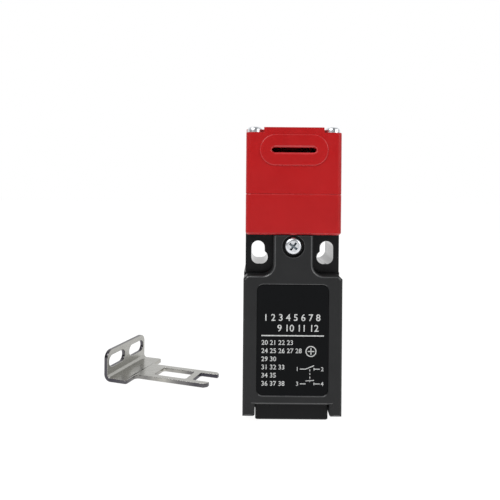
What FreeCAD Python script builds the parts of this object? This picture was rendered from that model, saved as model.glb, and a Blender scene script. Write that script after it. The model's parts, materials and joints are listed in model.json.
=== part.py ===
"""Tongue interlock switch: a slim position switch with a red key head and its loose forked key.

Frame: origin on the conduit entry's axis at the foot, X across the front, Y towards the back, Z up.
All sizes are in millimetres.
"""

import FreeCAD
import Part
import math
import os

V = FreeCAD.Vector

# ---------------------------------------------------------------- driving sizes
# housing
body_width = 31.0
body_depth = 30.0
body_corner = 1.5
wall = 2.0
shoulder_z = 46.4  # top of the wide part of the body
neck_height = 12.6  # from the shoulder to the seat of the head
neck_width = 30.0
neck_recess = 5.0  # neck face behind the cover's front
foot_lift = 2.3  # the wide body ends this far above the boss's face
chamber_roof = 2.0
chamber_back = 2.2

# conduit entry and its boss
conduit_radius = 9.45  # minor radius of the 20.4 mm conduit thread
conduit_length = 9.0
conduit_back_wall = 3.35
boss_width = 23.0
boss_setback = 3.0
boss_lip_gap = 0.2  # under the cover's notch
boss_bevel = 0.5

# mounting slots through the neck
slot_pitch = 22.0
hole_pitch = 20.0
slot_radius = 2.15
slot_rise = 3.1  # between the centres of a slot's two ends
slot_above_shoulder = 5.1
core_margin = 0.9  # the rear pocket is this much larger all round
core_depth = 8.0

# front cover
cover_depth = 7.0
cover_wall = 2.0
spine_width = 12.4
spine_gap = 0.2  # under the head
spine_corner = 3.3
shoulder_bevel = 1.2
face_bevel = 0.6
notch_width = 24.2
notch_height = 3.7  # above the foot of the wide body
ear_bevel = 0.8
plate_width = 22.4
plate_height = 34.6
plate_above_foot = 6.6
plate_recess = 0.6
plate_corner = 2.0
plate_gap = 0.15
plate_thickness = 0.4
seal_width = 0.9
seal_depth = 0.7

# cover screw, an M3 pan head in a brass insert
cover_screw_drop = 3.6  # below the seat of the head
screw_radius = 1.5
screw_head_radius = 2.75
screw_head_height = 1.9
screw_clearance = 0.15
cross_share = 0.5  # the cross's half length against the head's radius
cross_width = 0.7
cross_depth = 1.0
cover_dish_radius = 3.5
cover_dish_depth = 2.2
cover_screw_length = 7.0
screw_tip_room = 0.5  # left in a blind hole
insert_radius = 2.2
insert_length = 5.0

# head
head_width = 30.0
head_corner = 1.5
head_foot_height = 12.8
head_cap_height = 20.8
ledge_drop = 1.6
head_wall = 2.1
head_floor = 2.6
head_roof = 2.4
head_foot_bevel = 0.6
ledge_width = 5.6
entry_width = 13.9
entry_height = 2.0
entry_bevel = 0.35
collar_width = 21.3
collar_height = 9.7
collar_rise = 0.4
corner_screw_inset = 2.7
corner_screw_length = 28.0
corner_screw_head_radius = 2.4
floor_screw_pitch = 13.0
floor_screw_length = 7.5
floor_screw_head_radius = 2.5
floor_screw_head_height = 1.8

# key: a bent and blanked steel tongue
key_thickness = 1.5
key_plate_width = 26.4
key_plate_height = 11.5
key_plate_corner = 3.0
key_bend_inside = 1.2
key_hole_length = 10.4
key_hole_height = 4.5
key_hole_pitch = 13.6
key_hole_z = 7.1
tongue_width = 13.0
tongue_step = 8.3  # plate face to the step in width
tongue_length = 29.8  # step to the prong tips
window_start = 6.4  # step to the window
window_length = 13.6
crossbar_width = 2.8
prong_width = 2.6
step_fillet = 1.6
step_corner = 0.8
window_fillet = 0.8
tip_chamfer = 1.1
key_yaw_deg = 18.3
key_place_x = -63.8
key_place_y = 29.0

# cutting
over = 1.0  # how far a cut runs past the piece

# mechanism in the head
cam_above_floor = 16.8
tongue_above_cam = 7.1  # cam axis to the tongue's middle plane
key_stroke = 28.0
cam_width = 7.0
cam_hub_radius = 3.2
cam_lobe_radius = 6.4
cam_horn_radius = 9.0
cam_notch_width = 4.4
cam_notch_floor = 5.4
horn_arc_deg = 26.0  # how far a horn reaches past its notch's middle
axle_radius = 1.5
axle_gap = 0.04
cheek_gap = 0.5
cheek_thickness = 2.0
cheek_reach = 3.6
cheek_over_axle = 3.2
plunger_radius = 2.4
plunger_gap = 0.06
plunger_travel = 3.0
cam_gap = 0.15
collar_radius = 3.7
collar_thickness = 1.2
spring_bore_radius = 4.1
spring_height = 7.0
spring_wire = 0.6
spring_radius = 3.2
spring_turns = 5
ring_seal_inner = 4.8
ring_seal_outer = 6.2
ring_seal_depth = 0.8
wiper_outer = 4.2
wiper_depth = 1.2
lock_travel = 2.2
lock_nose_x = 4.6
lock_length = 4.0
lock_width = 3.4
lock_height = 3.2
lock_y = 6.2  # behind the cam's axis
lock_gap = 0.15
guide_wall = 1.2
guide_gap = 0.5  # beside the tongue
lock_spring_radius = 1.15
lock_spring_wire = 0.4
lock_spring_turns = 3
seat_gap = 0.05  # each end of a spring
runs_per_turn = 10
wire_sides = 6

# contact block
block_side_gap = 0.4
block_top_gap = 0.2
block_face_back = 1.2  # block face behind the plunger's axis
contact_mid_drop = 14.5  # below the chamber's roof
contact_spread = 6.5  # middle to each pair of fixed contacts
contact_closed_gap = 0.2
carrier_width = 7.2
carrier_depth = 6.0
carrier_front = 3.0  # carrier front ahead of the plunger's axis
carrier_gap = 0.25
carrier_headroom = 0.5  # left under the roof when the key is in
bridge_thickness = 0.8
bridge_end = 1.5  # past each rivet's middle
bridge_width = 2.8
bridge_ahead = 0.7  # bridge's middle ahead of the plunger's axis
rivet_radius = 1.1
rivet_height = 0.6
rivet_inset = 2.1  # from a terminal's inner edge
window_play = 3.0
contact_spring_radius = 1.0
contact_spring_wire = 0.35
contact_spring_turns = 4
terminal_thickness = 0.8
terminal_edge = 0.9  # from the block's side
terminal_width = 5.8
terminal_height = 7.4
tab_width = 3.4
tab_reach = 3.5
terminal_screw_rise = 4.8
terminal_screw_length = 7.0
terminal_head_radius = 2.4
clamp_size = 4.6
clamp_thickness = 0.8
clamp_corner = 0.5
rail_width = 1.3
rail_height = 2.6
rail_setback = 0.4
rest_width = 3.0
rest_depth = 6.0
rest_root = 0.5  # let into the chamber's walls

# ---------------------------------------------------------------- derived places
back_y = conduit_radius + conduit_back_wall
front_y = back_y - body_depth
mid_y = (front_y + back_y) / 2
parting_y = front_y + cover_depth
head_seat_z = shoulder_z + neck_height
head_parting_z = head_seat_z + head_foot_height
head_top_z = head_parting_z + head_cap_height
head_ledge_z = head_top_z - ledge_drop
slot_low_z = shoulder_z + slot_above_shoulder
slot_top_z = slot_low_z + slot_rise
cover_screw_z = head_seat_z - cover_screw_drop
spring_bore_floor_z = shoulder_z
notch_top_z = foot_lift + notch_height
boss_lip_z = notch_top_z - boss_lip_gap
plate_low_z = foot_lift + plate_above_foot
neck_y = front_y + neck_recess
chamber_floor_z = conduit_length
chamber_roof_z = shoulder_z - chamber_roof
chamber_back_y = back_y - chamber_back
chamber_half = body_width / 2 - wall
head_half = head_width / 2
head_inside = head_half - head_wall
head_floor_z = head_seat_z + head_floor
cam_z = head_floor_z + cam_above_floor
tongue_z = cam_z + tongue_above_cam
corner_screw = head_half - corner_screw_inset
inset_cavity = head_half - ledge_width
crossbar_from_tip = tongue_length - window_start - window_length - crossbar_width / 2
crossbar_reach = key_stroke - head_half - collar_rise - crossbar_from_tip
cam_half_deg = math.degrees(math.atan(crossbar_reach / tongue_above_cam))
cam_travel = math.radians(2 * cam_half_deg)
cam_rise = plunger_travel / cam_travel
block_y = mid_y + block_face_back
bridge_y = mid_y - bridge_ahead
contact_mid_z = chamber_roof_z - contact_mid_drop
carrier_top_z = chamber_roof_z - carrier_headroom - plunger_travel
terminal_outer_x = chamber_half - block_side_gap - terminal_edge
terminal_inner_x = terminal_outer_x - terminal_width
terminal_screw_x = terminal_outer_x - terminal_width / 2
rivet_x = terminal_inner_x + rivet_inset
nc_face_z = contact_mid_z + contact_spread
no_face_z = contact_mid_z - contact_spread


# ---------------------------------------------------------------- small helpers
def block(x0, x1, y0, y1, z0, z1):
    """A box between two corners."""
    return Part.makeBox(x1 - x0, y1 - y0, z1 - z0, V(x0, y0, z0))


def rod(radius, start, end):
    """A round bar from one point to another."""
    way = end.sub(start)
    return Part.makeCylinder(radius, way.Length, start, way)


def tube(outer, inner, start, end):
    """A round bar with a round hole along it."""
    return rod(outer, start, end).cut(rod(inner, start, end))


def stadium(length, height, depth):
    """A slot-shaped bar: length along X, height along Z, depth along +Y from the origin."""
    r = height / 2
    half = length / 2 - r
    core = block(-half, half, 0, depth, -r, r)
    ends = [rod(r, V(s * half, 0, 0), V(s * half, depth, 0)) for s in (-1, 1)]
    return core.multiFuse(ends).removeSplitter()


def moved(shape, x=0, y=0, z=0):
    """A copy of the shape, shifted."""
    out = shape.copy()
    out.translate(V(x, y, z))
    return out


def upright_edges(shape, keep):
    """Edges along Z whose middle passes the test."""
    found = []
    for edge in shape.Edges:
        a = edge.Vertexes[0].Point
        b = edge.Vertexes[-1].Point
        if abs(a.x - b.x) < 1e-6 and abs(a.y - b.y) < 1e-6 and keep((a + b) / 2):
            found.append(edge)
    return found


def edges_in(shape, x0, x1, y0, y1, z0, z1):
    """Edges that lie wholly in a box."""
    t = 1e-4
    found = []
    for edge in shape.Edges:
        b = edge.BoundBox
        inside_x = b.XMin > x0 - t and b.XMax < x1 + t
        inside_y = b.YMin > y0 - t and b.YMax < y1 + t
        inside_z = b.ZMin > z0 - t and b.ZMax < z1 + t
        if inside_x and inside_y and inside_z:
            found.append(edge)
    return found


def coil(radius, wire, height, turns, place, direction=V(0, 0, 1)):
    """A compression spring between its seats, its wire laid as short straight runs with mitred joints."""
    rise = (height - wire) / (turns * runs_per_turn)
    route = []
    for i in range(turns * runs_per_turn + 1):
        angle = 2 * math.pi * i / runs_per_turn
        route.append(V(radius * math.cos(angle), radius * math.sin(angle), wire / 2 + rise * i))
    way = route[1].sub(route[0]).normalize()
    up = way.cross(V(1, 0, 0)).normalize()
    out = up.cross(way)
    corners = []
    for i in range(wire_sides + 1):
        angle = 2 * math.pi * i / wire_sides
        corners.append(route[0] + out * (wire / 2 * math.cos(angle)) + up * (wire / 2 * math.sin(angle)))
    path = Part.Wire(Part.makePolygon(route).Edges)
    spring = path.makePipeShell([Part.Wire(Part.makePolygon(corners).Edges)], True, False, 1)
    spring.rotate(V(0, 0, 0), V(0, 1, 0), math.degrees(math.atan2(direction.x, direction.z)))
    spring.translate(place)
    return spring


def round_screw(head_radius, head_height, length, place, direction):
    """A round-headed screw with a cross recess: head above the seat point, shank along the direction."""
    head = Part.makeCylinder(head_radius, head_height)
    reach = head_radius * cross_share
    for angle in (0, 90):
        arm = block(-reach, reach, -cross_width / 2, cross_width / 2, head_height - cross_depth, head_height)
        arm.rotate(V(0, 0, 0), V(0, 0, 1), angle)
        head = head.cut(arm)
    screw = head.fuse(Part.makeCylinder(screw_radius, length, V(0, 0, -length)))
    turn = FreeCAD.Rotation(V(0, 0, -1), direction)
    screw.Placement = FreeCAD.Placement(place, turn)
    return screw


# ---------------------------------------------------------------- housing and cover
def mounting_hole(side, margin, depth):
    """A screw slot with a round hole beside its lower end, on one side of the neck."""
    r = slot_radius + margin
    slot = stadium(slot_top_z - slot_low_z + 2 * r, 2 * r, depth)
    slot.rotate(V(0, 0, 0), V(0, 1, 0), 90)
    slot.translate(V(side * slot_pitch / 2, 0, (slot_top_z + slot_low_z) / 2))
    low = V(side * hole_pitch / 2, 0, slot_low_z)
    return slot.fuse(rod(r, low, low + V(0, depth, 0)))


def round_backed(half, y0, z0, z1):
    """A block up to the back face with its two rear upright edges rounded."""
    body = block(-half, half, y0, back_y, z0, z1)
    return body.makeFillet(body_corner, upright_edges(body, lambda p: p.y > back_y - 0.1))


def body_housing():
    """Moulded box: contact chamber open to the front, conduit boss at the foot, screwed neck on top."""
    main = round_backed(body_width / 2, parting_y, foot_lift, shoulder_z)
    outer = main.fuse(round_backed(neck_width / 2, neck_y, shoulder_z, head_seat_z))
    boss = block(-boss_width / 2, boss_width / 2, front_y + boss_setback, back_y - body_corner, 0, boss_lip_z)
    foot = [e for e in boss.Edges if e.BoundBox.ZMax < 0.01]
    outer = outer.fuse(boss.makeChamfer(boss_bevel, foot))
    chamber = block(-chamber_half, chamber_half, parting_y - over, chamber_back_y,
                    chamber_floor_z, chamber_roof_z)
    outer = outer.cut(chamber)
    outer = outer.cut(rod(conduit_radius, V(0, 0, -over), V(0, 0, conduit_length + over)))
    for side in (-1, 1):
        outer = outer.cut(moved(mounting_hole(side, 0, body_depth + 2 * over), y=front_y - over))
        outer = outer.cut(moved(mounting_hole(side, core_margin, core_depth + over), y=back_y - core_depth))
    # plunger's way down, with the return spring's bore round it
    axis = V(0, mid_y, 0)
    outer = outer.cut(rod(plunger_radius + plunger_gap, axis + V(0, 0, chamber_roof_z - over),
                          axis + V(0, 0, head_seat_z + over)))
    outer = outer.cut(rod(spring_bore_radius, axis + V(0, 0, spring_bore_floor_z),
                          axis + V(0, 0, head_seat_z + over)))
    outer = outer.cut(tube(ring_seal_outer, ring_seal_inner, axis + V(0, 0, head_seat_z - ring_seal_depth),
                           axis + V(0, 0, head_seat_z + over)))
    for x, y in floor_screw_places():
        low = head_floor_z - floor_screw_length - screw_tip_room
        outer = outer.cut(rod(screw_radius, V(x, y, low), V(x, y, head_seat_z + over)))
    seat = V(0, neck_y, cover_screw_z)
    outer = outer.cut(rod(insert_radius, seat - V(0, over, 0), seat + V(0, insert_length, 0)))
    outer = outer.cut(rod(screw_radius + screw_clearance, seat, seat + V(0, insert_length + over, 0)))
    return outer.cut(seal_frame(parting_y - over, parting_y + seal_depth)).removeSplitter()


def seal_frame(y0, y1):
    """The rectangular ring that the gasket fills, midway in the housing's rim."""
    out = (wall + seal_width) / 2
    inn = (wall - seal_width) / 2
    big = block(-chamber_half - out, chamber_half + out, y0, y1, chamber_floor_z - out, chamber_roof_z + out)
    small = block(-chamber_half - inn, chamber_half + inn, y0, y1,
                  chamber_floor_z - inn, chamber_roof_z + inn)
    return big.cut(small)


def cover_gasket():
    """Square-section rubber ring, flush with the housing's rim under the cover."""
    return seal_frame(parting_y, parting_y + seal_depth)


def front_cover():
    """Shallow moulded lid with a spine up the neck, a bay for the rating plate and a notch at the foot."""
    half = body_width / 2
    spine_top = head_seat_z - spine_gap
    main = block(-half, half, front_y, parting_y, foot_lift, shoulder_z)
    spine = block(-spine_width / 2, spine_width / 2, front_y, neck_y, shoulder_z - over, spine_top)
    cover = main.fuse(spine).removeSplitter()
    corners = edges_in(cover, -spine_width / 2, spine_width / 2, front_y, neck_y, shoulder_z, shoulder_z)
    corners = [e for e in corners if e.BoundBox.YLength > 1]
    cover = cover.makeFillet(spine_corner, corners)
    shoulders = edges_in(cover, -half, half, front_y, parting_y, shoulder_z, shoulder_z)
    shoulders = [e for e in shoulders if e.BoundBox.YLength > 1 and abs(e.CenterOfMass.x) > half - 0.1]
    cover = cover.makeChamfer(shoulder_bevel, shoulders)
    notch = block(-notch_width / 2, notch_width / 2, front_y - over, parting_y + over,
                  foot_lift - over, notch_top_z)
    cover = cover.cut(notch)
    ears = edges_in(cover, -notch_width / 2, notch_width / 2, front_y, parting_y, foot_lift, foot_lift)
    ears = [e for e in ears if e.BoundBox.YLength > 1]
    cover = cover.makeChamfer(ear_bevel, ears)
    rim = [e for e in cover.Edges if e.BoundBox.YMax < front_y + 0.01 and e.BoundBox.ZMax < spine_top - 0.1]
    cover = cover.makeChamfer(face_bevel, rim)
    cover = cover.cut(block(-chamber_half, chamber_half, front_y + cover_wall, parting_y + over,
                            chamber_floor_z, chamber_roof_z))
    cover = cover.cut(plate_bay(0, front_y - over, front_y + plate_recess))
    seat = V(0, front_y, cover_screw_z)
    cover = cover.cut(rod(cover_dish_radius, seat - V(0, over, 0), seat + V(0, cover_dish_depth, 0)))
    return cover.cut(rod(screw_radius + screw_clearance, seat, seat + V(0, neck_recess + over, 0)))


def plate_bay(gap, y0, y1):
    """A rectangle with round corners in the cover's face, smaller by the gap all round."""
    w = plate_width / 2 - gap
    z0 = plate_low_z + gap
    z1 = plate_low_z + plate_height - gap
    slab = block(-w, w, y0, y1, z0, z1)
    rounds = [e for e in slab.Edges if e.BoundBox.YLength > (y1 - y0) / 2]
    return slab.makeFillet(plate_corner - gap, rounds)


def rating_plate():
    """Thin glossy plate stuck in the cover's bay."""
    seat = front_y + plate_recess
    return plate_bay(plate_gap, seat - plate_thickness, seat)


def cover_screw():
    """Pan-head screw in the dish at the top of the cover's spine."""
    seat = V(0, front_y + cover_dish_depth, cover_screw_z)
    return round_screw(screw_head_radius, screw_head_height, cover_screw_length, seat, V(0, 1, 0))


def cover_insert():
    """Brass bush moulded into the neck for the cover screw."""
    seat = V(0, neck_y, cover_screw_z)
    return tube(insert_radius, screw_radius + screw_clearance / 2, seat, seat + V(0, insert_length, 0))


# ---------------------------------------------------------------- head
def floor_screw_places():
    """The four screws that hold the head's foot to the neck."""
    p = floor_screw_pitch / 2
    return [(sx * p, mid_y + sy * p) for sx in (-1, 1) for sy in (-1, 1)]


def corner_screw_places():
    """The four long screws in the head's corners."""
    return [(sx * corner_screw, mid_y + sy * corner_screw) for sx in (-1, 1) for sy in (-1, 1)]


def head_hollow(z0, z1):
    """The space inside the head: a square with its four corners kept for the screw pillars."""
    a = inset_cavity
    b = head_inside
    return block(-a, a, mid_y - b, mid_y + b, z0, z1).fuse(block(-b, b, mid_y - a, mid_y + a, z0, z1))


def head_block(z0, z1):
    """Square prism of the head with rounded upright edges."""
    prism = block(-head_half, head_half, mid_y - head_half, mid_y + head_half, z0, z1)
    return prism.makeFillet(head_corner, upright_edges(prism, lambda p: True))


def head_lower():
    """Foot of the head: floor with the plunger's bore, screw pillars and two cheeks for the cam's axle."""
    foot = head_block(head_seat_z, head_parting_z)
    rim = [e for e in foot.Edges if e.BoundBox.ZMax < head_seat_z + 0.01]
    foot = foot.makeChamfer(head_foot_bevel, rim)
    foot = foot.cut(head_hollow(head_floor_z, head_parting_z + over))
    inner = cam_width / 2 + cheek_gap
    top = cam_z + cheek_over_axle
    for side in (-1, 1):
        x0, x1 = sorted((side * inner, side * (inner + cheek_thickness)))
        cheek = block(x0, x1, mid_y - cheek_reach, mid_y + cheek_reach, head_floor_z, top)
        crown = [e for e in cheek.Edges if e.BoundBox.ZMin > top - 0.01 and e.BoundBox.XLength > 1]
        foot = foot.fuse(cheek.makeFillet(cheek_reach * 0.8, crown))
    axis = V(0, mid_y, 0)
    foot = foot.cut(rod(plunger_radius + plunger_gap, axis + V(0, 0, head_seat_z - over),
                        axis + V(0, 0, head_floor_z + over)))
    foot = foot.cut(rod(wiper_outer, axis + V(0, 0, head_floor_z - wiper_depth),
                        axis + V(0, 0, head_floor_z + over)))
    foot = foot.cut(axle_bar(axle_radius + axle_gap, 1))
    for x, y in floor_screw_places():
        foot = foot.cut(rod(screw_radius + screw_clearance, V(x, y, head_seat_z - over),
                            V(x, y, head_floor_z + over)))
    for x, y in corner_screw_places():
        low = head_ledge_z - corner_screw_length - screw_tip_room
        foot = foot.cut(rod(screw_radius, V(x, y, low), V(x, y, head_parting_z + over)))
    return foot.removeSplitter()


def head_upper():
    """Cap of the head: key entries in front and on top, sunk corners for the screws, lock guides inside."""
    cap = head_block(head_parting_z, head_top_z)
    cap = cap.cut(head_hollow(head_parting_z - over, head_top_z - head_roof))
    front = stadium(collar_width, collar_height, head_wall + collar_rise)
    front.translate(V(0, mid_y - head_half - collar_rise, tongue_z))
    cap = cap.fuse(front)
    for x, y in corner_screw_places():
        sx = 1 if x > 0 else -1
        sy = 1 if y > mid_y else -1
        xs = sorted((sx * inset_cavity, sx * (head_half + over)))
        ys = sorted((mid_y + sy * inset_cavity, mid_y + sy * (head_half + over)))
        cap = cap.cut(block(xs[0], xs[1], ys[0], ys[1], head_ledge_z, head_top_z + over))
        cap = cap.cut(rod(screw_radius + screw_clearance, V(x, y, head_parting_z - over),
                          V(x, y, head_top_z)))
    for side in (-1, 1):
        cap = cap.fuse(lock_guide(side))
    cap = cap.cut(moved(entry_cut(), y=mid_y - head_half - collar_rise, z=tongue_z))
    top = entry_cut()
    top.rotate(V(0, 0, 0), V(1, 0, 0), -90)
    cap = cap.cut(moved(top, y=mid_y + tongue_above_cam, z=head_top_z))
    return cap.removeSplitter()


def entry_cut():
    """A key slot with a bevelled lip, entering at the origin along +Y."""
    slot = stadium(entry_width, entry_height, head_wall + collar_rise + 2 * over)
    wide = stadium(entry_width + 2 * entry_bevel, entry_height + 2 * entry_bevel, over)
    outer = [f for f in wide.Faces if f.BoundBox.YMax < 1e-4][0].OuterWire
    inner = [f for f in moved(slot, y=entry_bevel).Faces if f.BoundBox.YMax < entry_bevel + 1e-4][0].OuterWire
    return moved(slot, y=-over).fuse(Part.makeLoft([outer, inner], True, True))


def lock_box(side, margin, reach):
    """The room of one anti-tamper slide, from its nose to the given reach outwards."""
    x0, x1 = sorted((side * (lock_nose_x - margin), side * (lock_nose_x + reach)))
    y0 = mid_y + lock_y - lock_width / 2 - margin
    return block(x0, x1, y0, y0 + lock_width + 2 * margin, tongue_z - lock_height / 2 - margin,
                 tongue_z + lock_height / 2 + margin)


def lock_guide(side):
    """Sleeve under the head's roof in which one anti-tamper slide runs."""
    x0, x1 = sorted((side * (tongue_width / 2 + guide_gap), side * head_inside))
    y0 = mid_y + lock_y - lock_width / 2 - lock_gap - guide_wall
    y1 = y0 + lock_width + 2 * (lock_gap + guide_wall)
    z0 = tongue_z - lock_height / 2 - lock_gap - guide_wall
    sleeve = block(x0, x1, y0, y1, z0, head_top_z - head_roof)
    return sleeve.cut(lock_box(side, lock_gap, head_inside - lock_nose_x))


def head_screws():
    """Four long round-headed screws standing on the sunk corners."""
    return [round_screw(corner_screw_head_radius, screw_head_height, corner_screw_length,
                        V(x, y, head_ledge_z), V(0, 0, -1)) for x, y in corner_screw_places()]


def floor_screws():
    """Four short round-headed screws through the head's floor into the neck."""
    return [round_screw(floor_screw_head_radius, floor_screw_head_height, floor_screw_length,
                      V(x, y, head_floor_z), V(0, 0, -1)) for x, y in floor_screw_places()]


def head_seal():
    """Rubber ring between the neck and the head, round the plunger."""
    axis = V(0, mid_y, head_seat_z)
    return tube(ring_seal_outer, ring_seal_inner, axis - V(0, 0, ring_seal_depth), axis)


def plunger_wiper():
    """Rubber wiper round the plunger in the head's floor."""
    axis = V(0, mid_y, head_floor_z)
    return tube(wiper_outer, plunger_radius + plunger_gap, axis - V(0, 0, wiper_depth), axis)


# ---------------------------------------------------------------- cam, plunger and locks
def polar(radius, angle):
    """A point at this distance from the cam's axis, its angle in radians from straight up to the back."""
    return V(0, mid_y + radius * math.sin(angle), cam_z + radius * math.cos(angle))


def slab(wire, width):
    """A flat outline in the YZ plane made as thick as the width, centred on X = 0."""
    return moved(Part.Face(wire).extrude(V(width, 0, 0)), x=-width / 2)


def axle_bar(radius, extra):
    """The axle's line across both cheeks."""
    reach = cam_width / 2 + cheek_gap + cheek_thickness + extra
    return rod(radius, V(-reach, mid_y, cam_z), V(reach, mid_y, cam_z))


def cam_wheel():
    """Slotted cam: horns that the key's crossbar turns, and a spiral lobe that drives the plunger."""
    centre = V(0, mid_y, cam_z)
    half = math.radians(cam_half_deg)
    reach = math.radians(horn_arc_deg)
    notches = (-half, math.pi / 2 - half)
    first = notches[0] - reach
    last = notches[1] + reach
    rim = Part.Arc(polar(cam_horn_radius, first), polar(cam_horn_radius, (first + last) / 2),
                   polar(cam_horn_radius, last)).toShape()
    sides = [Part.makeLine(centre, polar(cam_horn_radius, first)),
             Part.makeLine(polar(cam_horn_radius, last), centre)]
    wheel = slab(Part.Wire([sides[0], rim, sides[1]]), cam_width)
    for angle in notches:
        w = cam_notch_width / 2
        notch = block(-cam_width, cam_width, -w, w, cam_notch_floor, cam_horn_radius + over)
        notch = notch.makeFillet(w * 0.5, [e for e in notch.Edges if e.BoundBox.ZMax < cam_notch_floor + 0.01
                                           and e.BoundBox.XLength > 1])
        notch.rotate(V(0, 0, 0), V(1, 0, 0), -math.degrees(angle))
        wheel = wheel.cut(moved(notch, y=mid_y, z=cam_z))
    # the lobe's radius falls evenly with the angle, so the plunger rises evenly as the cam turns
    steps = 8
    low = math.pi - cam_travel
    spiral = [polar(cam_lobe_radius - cam_rise * (math.pi - low) * (1 - i / steps),
                    low + (math.pi - low) * i / steps) for i in range(steps + 1)]
    curve = Part.BSplineCurve()
    curve.interpolate(spiral)
    tail = polar(cam_lobe_radius, math.pi + math.radians(8))
    edges = [Part.makeLine(centre, spiral[0]), curve.toShape(), Part.makeLine(spiral[-1], tail),
             Part.makeLine(tail, centre)]
    wheel = wheel.fuse(slab(Part.Wire(edges), cam_width))
    w = cam_width / 2
    wheel = wheel.fuse(rod(cam_hub_radius, V(-w, mid_y, cam_z), V(w, mid_y, cam_z)))
    return wheel.cut(axle_bar(axle_radius + axle_gap, 1)).removeSplitter()


def cam_axle():
    """Steel pin across the two cheeks."""
    return axle_bar(axle_radius, 0)


def tip_centre_z():
    """Height of the centre of the plunger's round tip, with the cam's lobe on it."""
    slope = math.atan(cam_rise / (cam_lobe_radius - plunger_travel + plunger_radius))
    return cam_z - cam_lobe_radius - plunger_radius / math.cos(slope) - cam_gap


def plunger():
    """Push rod with a nose rounded about the cam's direction and the collar that the return spring lifts."""
    r = plunger_radius
    axis = V(0, mid_y, 0)
    top = tip_centre_z()
    stem = rod(r, axis + V(0, 0, carrier_top_z), axis + V(0, 0, top + r))
    nose = rod(r, axis + V(-r, 0, top), axis + V(r, 0, top))
    stem = stem.common(block(-r, r, mid_y - r, mid_y + r, carrier_top_z, top).fuse(nose))
    low = spring_bore_floor_z + spring_height
    ring = rod(collar_radius, axis + V(0, 0, low), axis + V(0, 0, low + collar_thickness))
    return stem.fuse(ring).removeSplitter()


def return_spring():
    """Compression spring under the plunger's collar."""
    return coil(spring_radius, spring_wire, spring_height - 2 * seat_gap, spring_turns,
                V(0, mid_y, spring_bore_floor_z + seat_gap))


def lock_slide(side):
    """Anti-tamper slide: a prong's tip pushes its bevelled nose outwards."""
    body = lock_box(side, 0, lock_length)
    nose_x = side * lock_nose_x
    nose = [e for e in body.Edges if abs(e.CenterOfMass.x - nose_x) < 0.01
            and (e.CenterOfMass.y < mid_y + lock_y - lock_width / 2 + 0.01
                 or e.CenterOfMass.z > tongue_z + lock_height / 2 - 0.01)]
    return body.makeChamfer(lock_width * 0.45, nose)


def lock_spring(side):
    """Small spring between a lock slide and the head's side wall."""
    start = lock_nose_x + lock_length + seat_gap
    height = head_inside - start - seat_gap
    return coil(lock_spring_radius, lock_spring_wire, height, lock_spring_turns,
                V(side * start, mid_y + lock_y, tongue_z), V(side, 0, 0))


# ---------------------------------------------------------------- contact block
def nc_bridge_top():
    """Top of the opened bridge's bar."""
    return nc_face_z - plunger_travel - contact_closed_gap - rivet_height


def no_bridge_low():
    """Underside of the closed bridge's bar."""
    return no_face_z + contact_closed_gap + rivet_height


def contact_base():
    """Moulded block that carries the fixed contacts, with the carrier's guide down its middle."""
    half = chamber_half - block_side_gap
    top = chamber_roof_z - block_top_gap
    base = block(-half, half, block_y, chamber_back_y, 2 * contact_mid_z - top, top)
    reach = carrier_width / 2 + carrier_gap
    groove_y = mid_y + carrier_depth - carrier_front + carrier_gap
    base = base.cut(block(-reach, reach, block_y - over, groove_y, 0, top + over))
    for side in (-1, 1):
        x0, x1 = sorted((side * reach, side * (reach + rail_width)))
        rail = block(x0, x1, mid_y - carrier_front + rail_setback, block_y + over,
                     contact_mid_z - rail_height / 2, contact_mid_z + rail_height / 2)
        base = base.fuse(rail)
        for z in terminal_screw_heights():
            seat = V(side * terminal_screw_x, block_y, z)
            base = base.cut(rod(screw_radius, seat - V(0, over, 0), seat + V(0, terminal_screw_length, 0)))
    return base.removeSplitter()


def block_rests():
    """Two ribs in the chamber's back corners that the contact block stands on."""
    low = 2 * contact_mid_z - (chamber_roof_z - block_top_gap)
    outer = chamber_half + rest_root
    ribs = [block(x, x + rest_width, chamber_back_y - rest_depth, chamber_back_y + rest_root,
                  chamber_floor_z - rest_root, low) for x in (-outer, outer - rest_width)]
    return ribs[0].fuse(ribs[1])


def contact_carrier():
    """Sliding carrier under the plunger with one window for each bridge."""
    half = carrier_width / 2
    low = 2 * contact_mid_z - carrier_top_z
    y0 = mid_y - carrier_front
    carrier = block(-half, half, y0, y0 + carrier_depth, low, carrier_top_z)
    slot = bridge_width / 2 + 0.1
    for z0 in (nc_bridge_top() - bridge_thickness - window_play, no_bridge_low()):
        carrier = carrier.cut(block(-half - over, half + over, bridge_y - slot, bridge_y + slot,
                                    z0, z0 + bridge_thickness + window_play))
    return carrier


def bridge(z0, rivet_way):
    """Contact bridge: a flat bar with a rivet near each end, facing up (+1) or down (-1)."""
    half = rivet_x + bridge_end
    bar = block(-half, half, bridge_y - bridge_width / 2, bridge_y + bridge_width / 2,
                z0, z0 + bridge_thickness)
    bar = bar.makeFillet(bridge_width * 0.3, upright_edges(bar, lambda p: True))
    face = z0 + (bridge_thickness if rivet_way > 0 else 0)
    for side in (-1, 1):
        seat = V(side * rivet_x, bridge_y, face)
        bar = bar.fuse(rod(rivet_radius, seat, seat + V(0, 0, rivet_way * rivet_height)))
    return bar


def contact_spring(z0):
    """Spring in a carrier window that presses its bridge."""
    return coil(contact_spring_radius, contact_spring_wire, window_play - 2 * seat_gap, contact_spring_turns,
                V(0, bridge_y, z0 + seat_gap))


def terminal_screw_heights():
    """Heights of the upper and the lower pair of terminal screws."""
    return (nc_face_z + terminal_screw_rise, no_face_z - terminal_screw_rise)


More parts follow.
